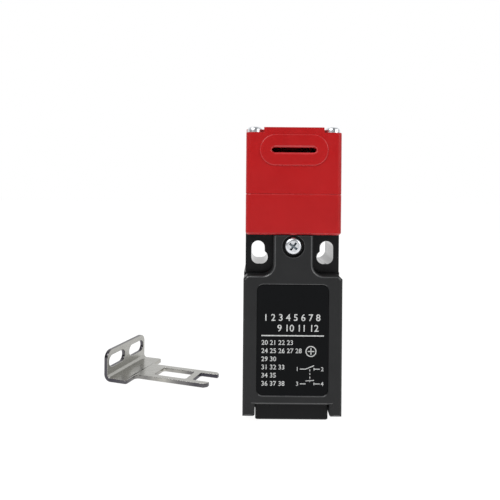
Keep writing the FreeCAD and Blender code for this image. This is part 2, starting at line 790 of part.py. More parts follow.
def terminal(side, upper):
    """Bent brass strip: a screw plate on the block's face and a tab over or under a bridge's end."""
    t = terminal_thickness
    x0 = terminal_inner_x
    plate = block(x0, x0 + terminal_width, block_y - t, block_y, 0, terminal_height)
    tab_x = rivet_x - tab_width / 2
    tab = block(tab_x, tab_x + tab_width, block_y - tab_reach, block_y, 0, t)
    strip = plate.fuse(tab)
    hole = V(terminal_screw_x, block_y - 2 * t, terminal_screw_rise)
    strip = strip.cut(rod(screw_radius + screw_clearance, hole, hole + V(0, 3 * t, 0))).removeSplitter()
    if side < 0:
        strip = strip.mirror(V(0, 0, 0), V(1, 0, 0))
    if upper:
        return moved(strip, z=nc_face_z)
    return moved(strip.mirror(V(0, 0, 0), V(0, 0, 1)), z=no_face_z)


def terminal_places(offset):
    """The four terminal screws' places, the offset ahead of the block's face."""
    return [V(s * terminal_screw_x, block_y - offset, z) for s in (-1, 1) for z in terminal_screw_heights()]


def terminal_screws():
    """Four round-headed wire screws."""
    ahead = terminal_thickness + clamp_thickness
    return [round_screw(terminal_head_radius, screw_head_height, terminal_screw_length, place, V(0, 1, 0))
            for place in terminal_places(ahead)]


def clamp_plates():
    """Four square wire clamps under the terminal screws, corners turned back."""
    plates = []
    h = clamp_size / 2
    for place in terminal_places(terminal_thickness + clamp_thickness):
        plate = block(place.x - h, place.x + h, place.y, place.y + clamp_thickness, place.z - h, place.z + h)
        rounds = [e for e in plate.Edges if e.BoundBox.YLength > clamp_thickness / 2]
        plate = plate.makeChamfer(clamp_corner, rounds)
        hole = rod(screw_radius + screw_clearance, place - V(0, over, 0), place + V(0, 2 * over, 0))
        plates.append(plate.cut(hole))
    return plates


# ---------------------------------------------------------------- key
def tongue_key():
    """Forked tongue blanked and bent from steel sheet, lying beside the switch."""
    t = key_thickness
    half = key_plate_width / 2
    tip = tongue_step + tongue_length
    key = block(-t, 0, -half, half, 0, key_plate_height)
    key = key.fuse(block(-t, tip, -half, half, 0, t)).removeSplitter()
    inner = edges_in(key, 0, 0, -half, half, t, t)
    key = key.makeFillet(key_bend_inside, inner)
    outer = edges_in(key, -t, -t, -half, half, 0, 0)
    key = key.makeFillet(key_bend_inside + t, outer)
    edge = tongue_width / 2
    for side in (-1, 1):
        y0, y1 = sorted((side * edge, side * (half + over)))
        key = key.cut(block(tongue_step, tip + over, y0, y1, -over, t + over))
    steps = upright_edges(key, lambda p: abs(p.x - tongue_step) < 0.01 and abs(abs(p.y) - edge) < 0.01)
    key = key.makeFillet(step_fillet, steps)
    corners = upright_edges(key, lambda p: abs(p.x - tongue_step) < 0.01 and abs(abs(p.y) - half) < 0.01)
    key = key.makeFillet(step_corner, corners)
    inside = edge - prong_width
    x0 = tongue_step + window_start
    window = block(x0, x0 + window_length, -inside, inside, -over, t + over)
    window = window.makeFillet(window_fillet, upright_edges(window, lambda p: True))
    x1 = x0 + window_length + crossbar_width
    fork = block(x1, tip + over, -inside, inside, -over, t + over)
    fork = fork.makeFillet(window_fillet, upright_edges(fork, lambda p: p.x < x1 + 0.01))
    key = key.cut(window).cut(fork)
    tips = upright_edges(key, lambda p: p.x > tip - 0.01 and abs(p.y) > edge - 0.01)
    key = key.makeChamfer(tip_chamfer, tips)
    tops = [e for e in key.Edges if e.BoundBox.ZMin > key_plate_height - 0.01 and e.BoundBox.XLength > t / 2
            and e.BoundBox.YLength < 0.01]
    key = key.makeFillet(key_plate_corner, tops)
    for side in (-1, 1):
        hole = stadium(key_hole_length, key_hole_height, 3 * t)
        hole.rotate(V(0, 0, 0), V(0, 0, 1), 90)
        key = key.cut(moved(hole, x=t, y=side * key_hole_pitch / 2, z=key_hole_z))
    key.rotate(V(0, 0, 0), V(0, 0, 1), -key_yaw_deg)
    return moved(key, x=key_place_x, y=key_place_y)


# ---------------------------------------------------------------- nodes
def all_nodes():
    """Every piece of the switch by its own name."""
    return {
        "body_housing": body_housing().fuse(block_rests()).removeSplitter(),
        "front_cover": front_cover(),
        "cover_gasket": cover_gasket(),
        "cover_screw": cover_screw(),
        "cover_insert": cover_insert(),
        "rating_plate": rating_plate(),
        "head_lower": head_lower(),
        "head_upper": head_upper(),
        "head_corner_screws": Part.makeCompound(head_screws()),
        "head_floor_screws": Part.makeCompound(floor_screws()),
        "head_seal": head_seal(),
        "plunger_wiper": plunger_wiper(),
        "cam_wheel": cam_wheel(),
        "cam_axle": cam_axle(),
        "plunger": plunger(),
        "return_spring": return_spring(),
        "lock_slide_left": lock_slide(-1),
        "lock_slide_right": lock_slide(1),
        "lock_spring_left": lock_spring(-1),
        "lock_spring_right": lock_spring(1),
        "contact_base": contact_base(),
        "contact_carrier": contact_carrier(),
        "nc_bridge": bridge(nc_bridge_top() - bridge_thickness, 1),
        "no_bridge": bridge(no_bridge_low(), -1),
        "nc_contact_spring": contact_spring(nc_bridge_top() - bridge_thickness - window_play),
        "no_contact_spring": contact_spring(no_bridge_low() + bridge_thickness),
        "nc_terminal_left": terminal(-1, True),
        "nc_terminal_right": terminal(1, True),
        "no_terminal_left": terminal(-1, False),
        "no_terminal_right": terminal(1, False),
        "terminal_screws": Part.makeCompound(terminal_screws()),
        "clamp_plates": Part.makeCompound(clamp_plates()),
        "tongue_key": tongue_key(),
    }


os.makedirs("parts", exist_ok=True)
for name, shape in all_nodes().items():
    print(name, len(shape.Solids), shape.isValid(), round(shape.Volume, 2))
    shape.exportStep("parts/" + name + ".step")
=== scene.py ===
"""Dresses the tongue interlock switch: black housing and cover, red key head, works and loose key.

Lengths are in metres, X across the front, Y towards the back, Z up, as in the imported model.
"""
import json
import math
import bpy
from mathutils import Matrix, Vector


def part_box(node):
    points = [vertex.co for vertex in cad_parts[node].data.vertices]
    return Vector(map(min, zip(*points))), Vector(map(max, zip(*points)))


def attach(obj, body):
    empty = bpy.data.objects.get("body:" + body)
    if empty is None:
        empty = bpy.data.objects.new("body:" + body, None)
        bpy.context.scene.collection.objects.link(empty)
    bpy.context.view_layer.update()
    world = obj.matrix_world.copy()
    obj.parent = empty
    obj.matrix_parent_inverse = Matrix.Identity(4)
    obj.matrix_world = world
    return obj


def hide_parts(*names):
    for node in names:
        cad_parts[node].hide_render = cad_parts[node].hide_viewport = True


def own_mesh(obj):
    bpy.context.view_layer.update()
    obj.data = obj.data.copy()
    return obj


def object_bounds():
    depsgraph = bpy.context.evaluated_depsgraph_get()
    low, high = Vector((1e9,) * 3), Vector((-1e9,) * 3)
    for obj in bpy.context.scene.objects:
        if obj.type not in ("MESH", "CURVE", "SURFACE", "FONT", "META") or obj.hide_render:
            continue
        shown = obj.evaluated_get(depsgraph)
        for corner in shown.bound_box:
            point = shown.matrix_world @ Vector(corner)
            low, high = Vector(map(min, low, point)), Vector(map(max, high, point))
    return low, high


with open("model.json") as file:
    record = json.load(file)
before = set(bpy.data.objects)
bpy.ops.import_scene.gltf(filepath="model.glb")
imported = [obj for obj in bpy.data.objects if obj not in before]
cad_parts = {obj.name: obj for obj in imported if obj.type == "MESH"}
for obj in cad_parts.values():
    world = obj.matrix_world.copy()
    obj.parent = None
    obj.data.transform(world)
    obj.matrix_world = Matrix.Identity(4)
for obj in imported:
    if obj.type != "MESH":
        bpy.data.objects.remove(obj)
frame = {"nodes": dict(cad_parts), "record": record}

cad_low, cad_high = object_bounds()

# ------------------------------------------------------------------ black body housing
# The moulded box of glass-filled plastic that holds the contacts, with the conduit boss at its foot and
# the narrow neck with two screw slots on top. Its edges are slightly broken, as a mould leaves them, and
# the skin has a very fine satin grain.
edge_break = 0.00012
join_within = 0.000002
flat_within = math.radians(0.4)
sharp_edge = 32
sharp_rim = 40


def only(piece):
    """Selects one piece alone and makes it active."""
    bpy.ops.object.select_all(action="DESELECT")
    piece.select_set(True)
    bpy.context.view_layer.objects.active = piece


def finish_mesh(piece, angle=35):
    """Makes gentle angles smooth and weights the normals towards the large faces."""
    only(piece)
    bpy.ops.object.shade_smooth_by_angle(angle=math.radians(angle))
    bpy.ops.object.modifier_add(type="WEIGHTED_NORMAL")
    piece.modifiers[-1].keep_sharp = True
    bpy.ops.object.modifier_apply(modifier=piece.modifiers[-1].name)


def round_edges(piece, sharpness, width, segments, chosen):
    """Rounds the edges sharper than an angle whose two ends pass the chosen test."""
    bpy.ops.object.mode_set(mode="EDIT")
    bpy.ops.mesh.select_mode(type="EDGE")
    bpy.ops.mesh.select_all(action="DESELECT")
    bpy.ops.mesh.edges_select_sharp(sharpness=math.radians(sharpness))
    bpy.ops.object.mode_set(mode="OBJECT")
    corners = piece.data.vertices
    chosen_edges = [edge for edge in piece.data.edges
                    if edge.select and all(chosen(corners[end].co) for end in edge.vertices)]
    for part in (*corners, *piece.data.edges, *piece.data.polygons):
        part.select = False
    for edge in chosen_edges:
        edge.select = True
    bpy.ops.object.mode_set(mode="EDIT")
    bpy.ops.mesh.bevel(offset=width, segments=segments, affect="EDGES")
    bpy.ops.object.mode_set(mode="OBJECT")


def broken_edges(node, name, width, segments=2, wide=0.0, picked=None, spared=None):
    """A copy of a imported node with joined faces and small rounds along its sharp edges, in its place.

    Edges that pass the picked test get a round of the wide size first, and edges that touch a spared
    place stay sharp.
    """
    piece = bpy.data.objects.new(name, frame["nodes"][node].data.copy())
    bpy.context.scene.collection.objects.link(piece)
    only(piece)
    bpy.ops.mesh.customdata_custom_splitnormals_clear()
    bpy.ops.object.mode_set(mode="EDIT")
    bpy.ops.mesh.select_all(action="SELECT")
    bpy.ops.mesh.remove_doubles(threshold=join_within)
    bpy.ops.mesh.dissolve_limited(angle_limit=flat_within)
    bpy.ops.object.mode_set(mode="OBJECT")
    if picked:
        round_edges(piece, sharp_rim, wide, 3, picked)
    round_edges(piece, sharp_edge, width, segments, lambda corner: not (spared and spared(corner)))
    finish_mesh(piece)
    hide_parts(node)
    return piece


def finish_group(name, inputs, outputs):
    """An empty shader node group with its sockets: name, kind and start value in, name and kind out."""
    group = bpy.data.node_groups.new(name, "ShaderNodeTree")
    for label, kind, value in inputs:
        socket = group.interface.new_socket(name=label, in_out="INPUT", socket_type="NodeSocket" + kind)
        socket.default_value = value
    for label, kind in outputs:
        group.interface.new_socket(name=label, in_out="OUTPUT", socket_type="NodeSocket" + kind)
    entry = group.nodes.new("NodeGroupInput")
    leave = group.nodes.new("NodeGroupOutput")
    return group, entry, leave


def noise(tree, place, scale, detail=2.0):
    """A noise texture on the given place."""
    texture = tree.nodes.new("ShaderNodeTexNoise")
    texture.inputs["Detail"].default_value = detail
    if isinstance(scale, (int, float)):
        texture.inputs["Scale"].default_value = scale
    else:
        tree.links.new(scale, texture.inputs["Scale"])
    tree.links.new(place, texture.inputs["Vector"])
    return texture.outputs["Fac"]


def spread(tree, value, low, high, to_low, to_high):
    """Stretches a mask from one range to another; the new limits may be sockets."""
    ramp = tree.nodes.new("ShaderNodeMapRange")
    tree.links.new(value, ramp.inputs["Value"])
    for label, limit in (("From Min", low), ("From Max", high), ("To Min", to_low), ("To Max", to_high)):
        if isinstance(limit, (int, float)):
            ramp.inputs[label].default_value = limit
        else:
            tree.links.new(limit, ramp.inputs[label])
    return ramp.outputs["Result"]


def tint(tree, mask, first, second):
    """A colour between two others, by the mask; either may be a socket or red, green and blue."""
    mix = tree.nodes.new("ShaderNodeMix")
    mix.data_type = "RGBA"
    tree.links.new(mask, mix.inputs[0])
    for index, colour in ((6, first), (7, second)):
        if isinstance(colour, tuple):
            mix.inputs[index].default_value = (*colour, 1)
        else:
            tree.links.new(colour, mix.inputs[index])
    return mix.outputs[2]


def bumped(tree, height, depth):
    """A normal from a height mask; the depth is in metres."""
    bump = tree.nodes.new("ShaderNodeBump")
    tree.links.new(height, bump.inputs["Height"])
    if isinstance(depth, (int, float)):
        bump.inputs["Distance"].default_value = depth
    else:
        tree.links.new(depth, bump.inputs["Distance"])
    return bump.outputs["Normal"]


mask_low = 0.3
mask_high = 0.7
cloud_scale = 90.0
gloss_scale = 260.0


def moulded_skin():
    """Group for moulded plastic: cloudy shade, uneven gloss and a fine grain."""
    group, entry, leave = finish_group(
        "moulded_skin",
        [("Dark", "Color", (0.1, 0.1, 0.1, 1)), ("Light", "Color", (0.2, 0.2, 0.2, 1)),
         ("Least Rough", "Float", 0.3), ("Most Rough", "Float", 0.4),
         ("Grain Scale", "Float", 6000.0), ("Grain Depth", "Float", 0.00001)],
        [("Colour", "Color"), ("Roughness", "Float"), ("Normal", "Vector")])
    place = group.nodes.new("ShaderNodeTexCoord").outputs["Object"]
    cloud = noise(group, place, cloud_scale, 3.0)
    cloud = spread(group, cloud, mask_low, mask_high, 0.0, 1.0)
    colour = tint(group, cloud, entry.outputs["Dark"], entry.outputs["Light"])
    group.links.new(colour, leave.inputs["Colour"])
    patch = noise(group, place, gloss_scale, 4.0)
    rough = spread(group, patch, mask_low, mask_high,
                   entry.outputs["Least Rough"], entry.outputs["Most Rough"])
    group.links.new(rough, leave.inputs["Roughness"])
    grain = noise(group, place, entry.outputs["Grain Scale"], 1.0)
    group.links.new(bumped(group, grain, entry.outputs["Grain Depth"]), leave.inputs["Normal"])
    return group


moulded_skin_group = moulded_skin()


def shader_of(name):
    """A new node material and its Principled shader."""
    material = bpy.data.materials.new(name)
    material.use_nodes = True
    return material, material.node_tree.nodes["Principled BSDF"]


def plastic(name, dark, light, rough, grain, gloss=0.5):
    """Moulded plastic: two close shades, the least and most roughness, grain scale and depth."""
    material, shader = shader_of(name)
    skin = material.node_tree.nodes.new("ShaderNodeGroup")
    skin.node_tree = moulded_skin_group
    skin.inputs["Dark"].default_value = (*dark, 1)
    skin.inputs["Light"].default_value = (*light, 1)
    skin.inputs["Least Rough"].default_value = rough[0]
    skin.inputs["Most Rough"].default_value = rough[1]
    skin.inputs["Grain Scale"].default_value = grain[0]
    skin.inputs["Grain Depth"].default_value = grain[1]
    links = material.node_tree.links
    links.new(skin.outputs["Colour"], shader.inputs["Base Color"])
    links.new(skin.outputs["Roughness"], shader.inputs["Roughness"])
    links.new(skin.outputs["Normal"], shader.inputs["Normal"])
    shader.inputs["Specular IOR Level"].default_value = gloss
    return material


def wear(piece, material, second=None, where=None):
    """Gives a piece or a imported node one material, and the faces that pass the test a second one."""
    piece.data.materials.clear()
    piece.data.materials.append(material)
    if second:
        piece.data.materials.append(second)
        for face in piece.data.polygons:
            face.material_index = int(where(face))
    return piece


# The housing's plastic is darker than the cover's: partly a darker moulding, partly painted shade for the
# neck and the conduit boss, which lie in shade under the head and behind the cover.
black_plastic = plastic("black_plastic", (0.0050, 0.0052, 0.0058), (0.0068, 0.0070, 0.0078),
                        (0.26, 0.36), (5200.0, 0.000012), 0.16)
cored_plastic = plastic("cored_plastic", (0.010, 0.010, 0.011), (0.014, 0.014, 0.015),
                        (0.08, 0.14), (1500.0, 0.000006), 0.8)
housing_low, housing_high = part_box("body_housing")
slot_spaces = [space["box_m"] for space in frame["record"]["physics"]["openings"]
               if space["name"].startswith("fixing_slot")]
slot_room = 0.003
neck_skin = 0.0003
side_wall = 0.0015
shoulder_reach = 0.0026
shoulder_depth = 0.0022
shoulder_share = 0.7
wall_lean = 0.3


def acute_corner(corner):
    """Where the shoulder runs out to nothing against the flush back."""
    at_side = abs(corner.x) > housing_high.x - shoulder_reach
    at_back = corner.y > housing_high.y - shoulder_depth
    return at_side and at_back and corner.z > housing_high.z * shoulder_share


def slot_wall(face):
    """Whether a face of the housing lines one of the two slots."""
    place = face.center
    beside = any(low[0] - slot_room < place.x < high[0] + slot_room
                 and low[2] - slot_room < place.z < high[2] + slot_room for low, high in slot_spaces)
    inside_neck = housing_low.y + neck_skin < place.y < housing_high.y - neck_skin
    within_sides = abs(place.x) < housing_high.x - side_wall
    return beside and inside_neck and within_sides and abs(face.normal.y) < wall_lean


housing = broken_edges("body_housing", "housing_shell", edge_break, spared=acute_corner)
wear(housing, black_plastic, cored_plastic, slot_wall)
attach(housing, "switch_body")

# ------------------------------------------------------------------ front cover
# The shallow lid of the same plastic that closes the housing, with the spine that climbs the neck, a bay
# for the plate and two ears that reach down beside the conduit boss. One screw in a dish holds it at the
# top. Its front outlines carry a painted highlight: a paler, glossier plastic on their small rounds.
cover_plastic = plastic("cover_plastic", (0.0135, 0.0140, 0.0148), (0.0170, 0.0175, 0.0183),
                        (0.34, 0.44), (4600.0, 0.000014), 0.24)
# Painted highlight: the cover's small front rounds get this paler, glossier plastic to stand for the
# light they catch.
painted_highlight_edge = plastic("painted_highlight_edge", (0.050, 0.051, 0.053), (0.085, 0.086, 0.088),
                      (0.24, 0.34), (4600.0, 0.000008), 0.5)
cover_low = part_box("front_cover")[0]
dish_low, dish_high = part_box("cover_screw")
dish_room = 0.0022
touching = 0.00001
rim_round = 0.0003
rim_skin = 0.00028
bay_room = 0.001
bay_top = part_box("rating_plate")[1].z + bay_room
least_lean = 0.2
most_lean = 0.97


def cover_rim(corner):
    """The outlines on the cover's front face, but for the screw's dish."""
    beside_dish = dish_low.x - dish_room < corner.x < dish_high.x + dish_room
    level_dish = dish_low.z - dish_room < corner.z < dish_high.z + dish_room
    return corner.y < cover_low.y + touching and not (beside_dish and level_dish)


def painted_highlight_rim(face):
    """The small rounds along the front outlines, which get a painted highlight: lighter and smoother than
    the skin.
    """
    above_bay = face.center.z > bay_top
    level = abs(face.normal.z) > abs(face.normal.x)
    on_round = face.center.y < cover_low.y + rim_skin and least_lean < abs(face.normal.y) < most_lean
    return on_round and (above_bay or level)


def open_corners(piece, chosen):
    """Opens a piece for editing with only the corners that pass the test selected."""
    for part in (*piece.data.vertices, *piece.data.edges, *piece.data.polygons):
        part.select = False
    for corner in piece.data.vertices:
        corner.select = chosen(corner.co)
    only(piece)
    bpy.ops.object.mode_set(mode="EDIT")
    bpy.ops.mesh.select_mode(type="VERT")


ear_face = 0.0121
ear_cut = (0.0119, 0.0131)
ear_cut_top = 0.0034
ear_top = 0.0062
ear_reach = 0.00045
cut_share = 0.5


def ear_inside(side, top):
    """A test for the corners of one ear's inner face, up to a height."""
    return lambda corner: ear_cut[0] < side * corner.x < ear_cut[1] and corner.z < top


cover = broken_edges("front_cover", "cover_shell", edge_break, wide=rim_round, picked=cover_rim)
for side in (-1, 1):
    open_corners(cover, ear_inside(side, ear_cut_top))
    bpy.ops.transform.resize(value=(cut_share, 1, cut_share),
                             center_override=(side * ear_face, 0, cover_low.z))
    bpy.ops.object.mode_set(mode="OBJECT")
    open_corners(cover, ear_inside(side, ear_top))
    bpy.ops.transform.translate(value=(-side * ear_reach, 0, 0))
    bpy.ops.object.mode_set(mode="OBJECT")
finish_mesh(cover)
wear(cover, cover_plastic, painted_highlight_edge, painted_highlight_rim)
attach(cover, "cover")

# ------------------------------------------------------------------ rating plate
# A thin satin film stuck in the cover's bay, near black. Its print is generic: a rule, rows of plain
# numbers, a ring with a cross and the symbols of the two contacts, laid a hair's breadth above the film.
film, film_shader = shader_of("plate_film")
film_tree = film.node_tree
film_place = film_tree.nodes.new("ShaderNodeTexCoord").outputs["Object"]
film_cloud = noise(film_tree, film_place, 120.0, 2.0)
film_colour = tint(film_tree, film_cloud, (0.0022, 0.0026, 0.0032), (0.0034, 0.0040, 0.0048))
film_tree.links.new(film_colour, film_shader.inputs["Base Color"])
film_rough = spread(film_tree, film_cloud, mask_low, mask_high, 0.10, 0.16)
film_tree.links.new(film_rough, film_shader.inputs["Roughness"])
film_waves = noise(film_tree, film_place, 420.0, 1.0)
film_tree.links.new(bumped(film_tree, film_waves, 0.00002), film_shader.inputs["Normal"])
film_shader.inputs["Specular IOR Level"].default_value = 0.08
wear(frame["nodes"]["rating_plate"], film)

plate_low, plate_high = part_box("rating_plate")
print_lift = 0.00003
figure_share = 0.7
boldness = 0.012
print_ink, ink_shader = shader_of("print_ink")
ink_tree = print_ink.node_tree
ink_place = ink_tree.nodes.new("ShaderNodeTexCoord").outputs["Object"]
ink_worn = spread(ink_tree, noise(ink_tree, ink_place, 2400.0, 3.0), 0.35, 0.65, 0.0, 1.0)
ink_tree.links.new(tint(ink_tree, ink_worn, (0.50, 0.51, 0.51), (0.72, 0.73, 0.72)),
                   ink_shader.inputs["Base Color"])
ink_shader.inputs["Roughness"].default_value = 0.5
printed = []


def on_plate(across, up):
    """A point on the film's face, from its lower left corner."""
    return (plate_low.x + across, plate_low.y - print_lift / 2, plate_low.z + up)


def printed_number(words, across, up, height):
    """A short run of plain figures, its lower left corner at the given place."""
    bpy.ops.object.select_all(action="DESELECT")
    bpy.ops.object.text_add()
    figure = bpy.context.object
    figure.data.body = words
    figure.data.size = height / figure_share
    figure.data.offset = height * boldness
    figure.data.extrude = print_lift / 2
    figure.data.resolution_u = 3
    bpy.ops.object.convert(target="MESH")
    figure.rotation_euler = (math.radians(90), 0, 0)
    figure.location = on_plate(across, up)
    bpy.ops.object.transform_apply(location=True, rotation=True, scale=True)
    printed.append(figure)


def printed_line(start, end, width):
    """A straight stroke between two places on the film."""
    length = math.hypot(end[0] - start[0], end[1] - start[1])
    bpy.ops.object.select_all(action="DESELECT")
    bpy.ops.mesh.primitive_cube_add(size=1)
    stroke = bpy.context.object
    stroke.scale = (length, print_lift, width)
    stroke.rotation_euler = (0, -math.atan2(end[1] - start[1], end[0] - start[0]), 0)
    stroke.location = on_plate((start[0] + end[0]) / 2, (start[1] + end[1]) / 2)
    bpy.ops.object.transform_apply(location=True, rotation=True, scale=True)
    printed.append(stroke)


def printed_ring(across, up, radius, width):
    """A thin ring on the film."""
    bpy.ops.object.select_all(action="DESELECT")
    bpy.ops.mesh.primitive_cylinder_add(vertices=40, radius=radius, depth=print_lift,
                                        end_fill_type="NOTHING")
    ring = bpy.context.object
    ring.rotation_euler = (math.radians(90), 0, 0)
    ring.location = on_plate(across, up)
    bpy.ops.object.transform_apply(location=True, rotation=True, scale=True)
    bpy.ops.object.modifier_add(type="SOLIDIFY")
    ring.modifiers[-1].thickness = width
    bpy.ops.object.modifier_apply(modifier=ring.modifiers[-1].name)
    printed.append(ring)


plate_width = plate_high.x - plate_low.x
margin = 0.0013
large_figure = 0.0021
printed_number("1 2 3 4 5 6 7 8", margin + 0.0006, 0.0232, large_figure)
printed_number("9 10 11 12", 0.0062, 0.0199, large_figure)
rule_height = 0.01855
printed_line((margin, rule_height), (plate_width - margin, rule_height), 0.00035)
first_row = 0.0157
row_step = 0.00255
row_figure = 0.00145
rows = ("20 21 22 23", "24 25 26 27 28", "29 30", "31 32 33", "34 35", "36 37 38")
for step, words in enumerate(rows):
    printed_number(words, margin, first_row - row_step * step, row_figure)
ring_across = 0.0168
ring_up = 0.0137
ring_line = 0.0003
cross_reach = 0.001
printed_ring(ring_across, ring_up, 0.0017, ring_line)
printed_line((ring_across, ring_up - cross_reach), (ring_across, ring_up + cross_reach), ring_line)
printed_line((ring_across - cross_reach, ring_up), (ring_across + cross_reach, ring_up), ring_line)
wire_start = 0.0134
blade_pivot = 0.0152
blade_tip = 0.0178
wire_end = 0.0196
wire_line = 0.00025
blade_rise = 0.0011
stop_reach = 0.0004
for height, gap in ((0.0082, 0.0), (0.0036, 0.0009)):
    printed_line((wire_start, height), (blade_pivot, height), wire_line)
    printed_line((blade_pivot, height + gap), (blade_tip, height + blade_rise), wire_line)
    printed_line((blade_tip, height), (wire_end, height), wire_line)
    printed_line((blade_tip, height - stop_reach), (blade_tip, height + stop_reach), wire_line)
dash_across = 0.0165
dash_length = 0.0006
dash_line = 0.00022
for start in (0.0042, 0.0053, 0.0064, 0.0075):
    printed_line((dash_across, start), (dash_across, start + dash_length), dash_line)
small_figure = 0.00125
for words, across, up in (("1", 0.0121, 0.0076), ("2", 0.0199, 0.0076),
                          ("3", 0.0121, 0.0030), ("4", 0.0199, 0.0030)):
    printed_number(words, across, up, small_figure)
bpy.ops.object.select_all(action="DESELECT")
for mark in printed:
    mark.select_set(True)
bpy.context.view_layer.objects.active = printed[0]
bpy.ops.object.join()
plate_print = bpy.context.object
plate_print.name = "plate_print"
wear(plate_print, print_ink)
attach(plate_print, "cover")

# ------------------------------------------------------------------ cover screw
# A zinc-plated pan-head screw with a cross recess, in the dish at the top of the spine. The plating is
# bright and slightly blue and finely mottled; in the recess it is rougher, and darker by painted shade.


def plated_metal():
    """Group for plated or brushed metal: mottled shade, roughness and fine bumps."""
    group, entry, leave = finish_group(
        "plated_metal",
        [("Dark", "Color", (0.4, 0.4, 0.4, 1)), ("Light", "Color", (0.7, 0.7, 0.7, 1)),
         ("Least Rough", "Float", 0.2), ("Most Rough", "Float", 0.35),
         ("Mottle Scale", "Float", 900.0), ("Bump Depth", "Float", 0.00001),
         ("Stretch", "Vector", (1.0, 1.0, 1.0)), ("Turn", "Vector", (0.0, 0.0, 0.0))],
        [("Colour", "Color"), ("Roughness", "Float"), ("Normal", "Vector")])
    place = group.nodes.new("ShaderNodeTexCoord").outputs["Object"]
    turned = group.nodes.new("ShaderNodeMapping")
    group.links.new(place, turned.inputs["Vector"])
    group.links.new(entry.outputs["Turn"], turned.inputs["Rotation"])
    drawn = group.nodes.new("ShaderNodeVectorMath")
    drawn.operation = "MULTIPLY"
    group.links.new(turned.outputs["Vector"], drawn.inputs[0])
    group.links.new(entry.outputs["Stretch"], drawn.inputs[1])
    mottle = noise(group, drawn.outputs["Vector"], entry.outputs["Mottle Scale"], 3.0)
    shade = spread(group, mottle, mask_low, mask_high, 0.0, 1.0)
    colour = tint(group, shade, entry.outputs["Dark"], entry.outputs["Light"])
    group.links.new(colour, leave.inputs["Colour"])
    patch = noise(group, place, 300.0, 3.0)
    rough = spread(group, patch, mask_low, mask_high,
                   entry.outputs["Least Rough"], entry.outputs["Most Rough"])
    group.links.new(rough, leave.inputs["Roughness"])
    group.links.new(bumped(group, mottle, entry.outputs["Bump Depth"]), leave.inputs["Normal"])
    return group


plated_metal_group = plated_metal()


def metal(name, dark, light, rough, mottle, stretch=(1.0, 1.0, 1.0), turn=0.0):
    """Bare or plated metal: two close shades, the least and most roughness, mottle scale and depth."""
    material, shader = shader_of(name)
    skin = material.node_tree.nodes.new("ShaderNodeGroup")
    skin.node_tree = plated_metal_group
    skin.inputs["Dark"].default_value = (*dark, 1)
    skin.inputs["Light"].default_value = (*light, 1)
    skin.inputs["Least Rough"].default_value = rough[0]
    skin.inputs["Most Rough"].default_value = rough[1]
    skin.inputs["Mottle Scale"].default_value = mottle[0]
    skin.inputs["Bump Depth"].default_value = mottle[1]
    skin.inputs["Stretch"].default_value = stretch
    skin.inputs["Turn"].default_value = (0.0, 0.0, turn)
    links = material.node_tree.links
    links.new(skin.outputs["Colour"], shader.inputs["Base Color"])
    links.new(skin.outputs["Roughness"], shader.inputs["Roughness"])
    links.new(skin.outputs["Normal"], shader.inputs["Normal"])
    shader.inputs["Metallic"].default_value = 1.0
    return material


zinc = metal("zinc_plate", (0.70, 0.72, 0.75), (0.88, 0.90, 0.93), (0.28, 0.40), (1500.0, 0.000012))
# Painted shade: the faces of a screw's cross recess get this darker, rougher zinc in place of the shade
# inside the recess.
recess_shade_zinc = metal("recess_shade_zinc", (0.10, 0.12, 0.14), (0.42, 0.48, 0.53), (0.35, 0.5), (1800.0, 0.00002))
# Shares of a screw's head radius, head height, shank or thread pitch, and the longest thread in metres.
recess_reach = 0.66
recess_width = 0.3
recess_taper = 0.55
recess_depth = 0.62
recess_floor = 0.2
recess_rim = 0.97
head_rim = 0.9
dome = 0.62
core = 0.84
threaded_share = 0.9
ridge_size = 0.42
longest_thread = 0.006


def in_recess(head_radius, head_height):
    """A test for the faces of a screw's recess, while the screw still stands along Z."""
    def test(face):
        place = face.center
        sunk = head_height * recess_floor < place.z < head_height * recess_rim
        return sunk and math.hypot(place.x, place.y) < head_radius * recess_reach
    return test


